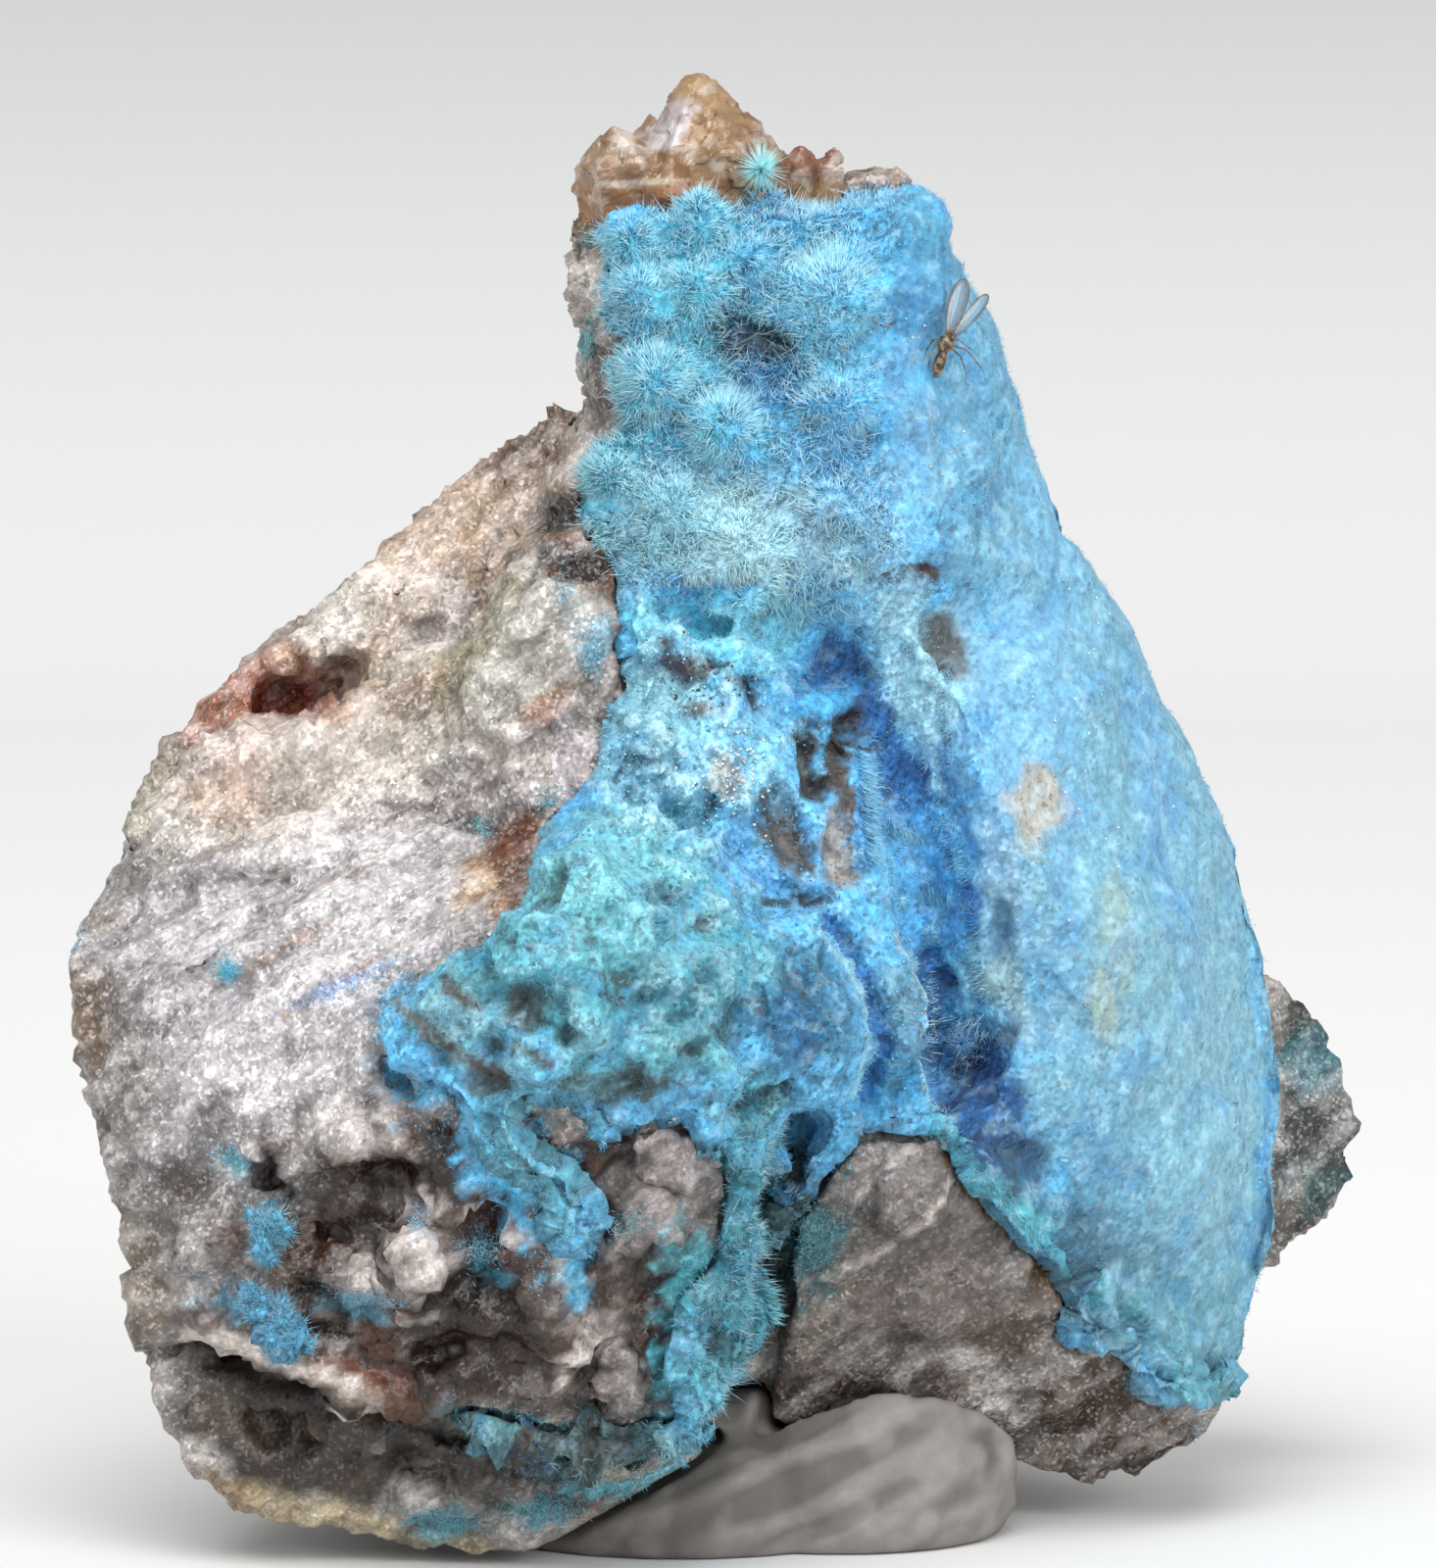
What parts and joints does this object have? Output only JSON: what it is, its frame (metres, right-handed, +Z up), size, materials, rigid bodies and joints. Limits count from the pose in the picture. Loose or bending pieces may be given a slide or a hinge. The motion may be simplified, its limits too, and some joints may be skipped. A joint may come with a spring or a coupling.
{
  "type": "cyanotrichite specimen",
  "caption": "Upright chunk of quartz rock with a velvety blue and turquoise needle crust and stained quartz crystals on top, standing on a pressed lump of putty.",
  "frame": {"origin": "on the surface that the specimen rests on, under the middle of its box", "axes": "+Z up, -Y towards the viewer of the blue side, +X to that viewer's right"},
  "size_m": [0.0342, 0.0266, 0.0385],
  "materials": {
    "matrix_rock": "rough broken quartz rock, grey-white and rusty brown",
    "quartz_crystals": "translucent quartz crystals stained tan by iron",
    "velvet_crust": "velvet of fine blue to turquoise needle crystals",
    "low_left_patch": "velvet of fine blue needle crystals",
    "small_left_patch": "velvet of fine blue needle crystals",
    "putty_rest": "dull grey-white putty pressed by hand",
    "dried_gnat": "dry tan and brown body with clear wings"
  },
  "bodies": {
    "root": {"matrix_rock": "matrix_rock", "quartz_crystals": "quartz_crystals", "velvet_crust": "velvet_crust", "low_left_patch": "low_left_patch", "small_left_patch": "small_left_patch", "putty_rest": "putty_rest", "dried_gnat": "dried_gnat"}
  },
  "joints": []
}
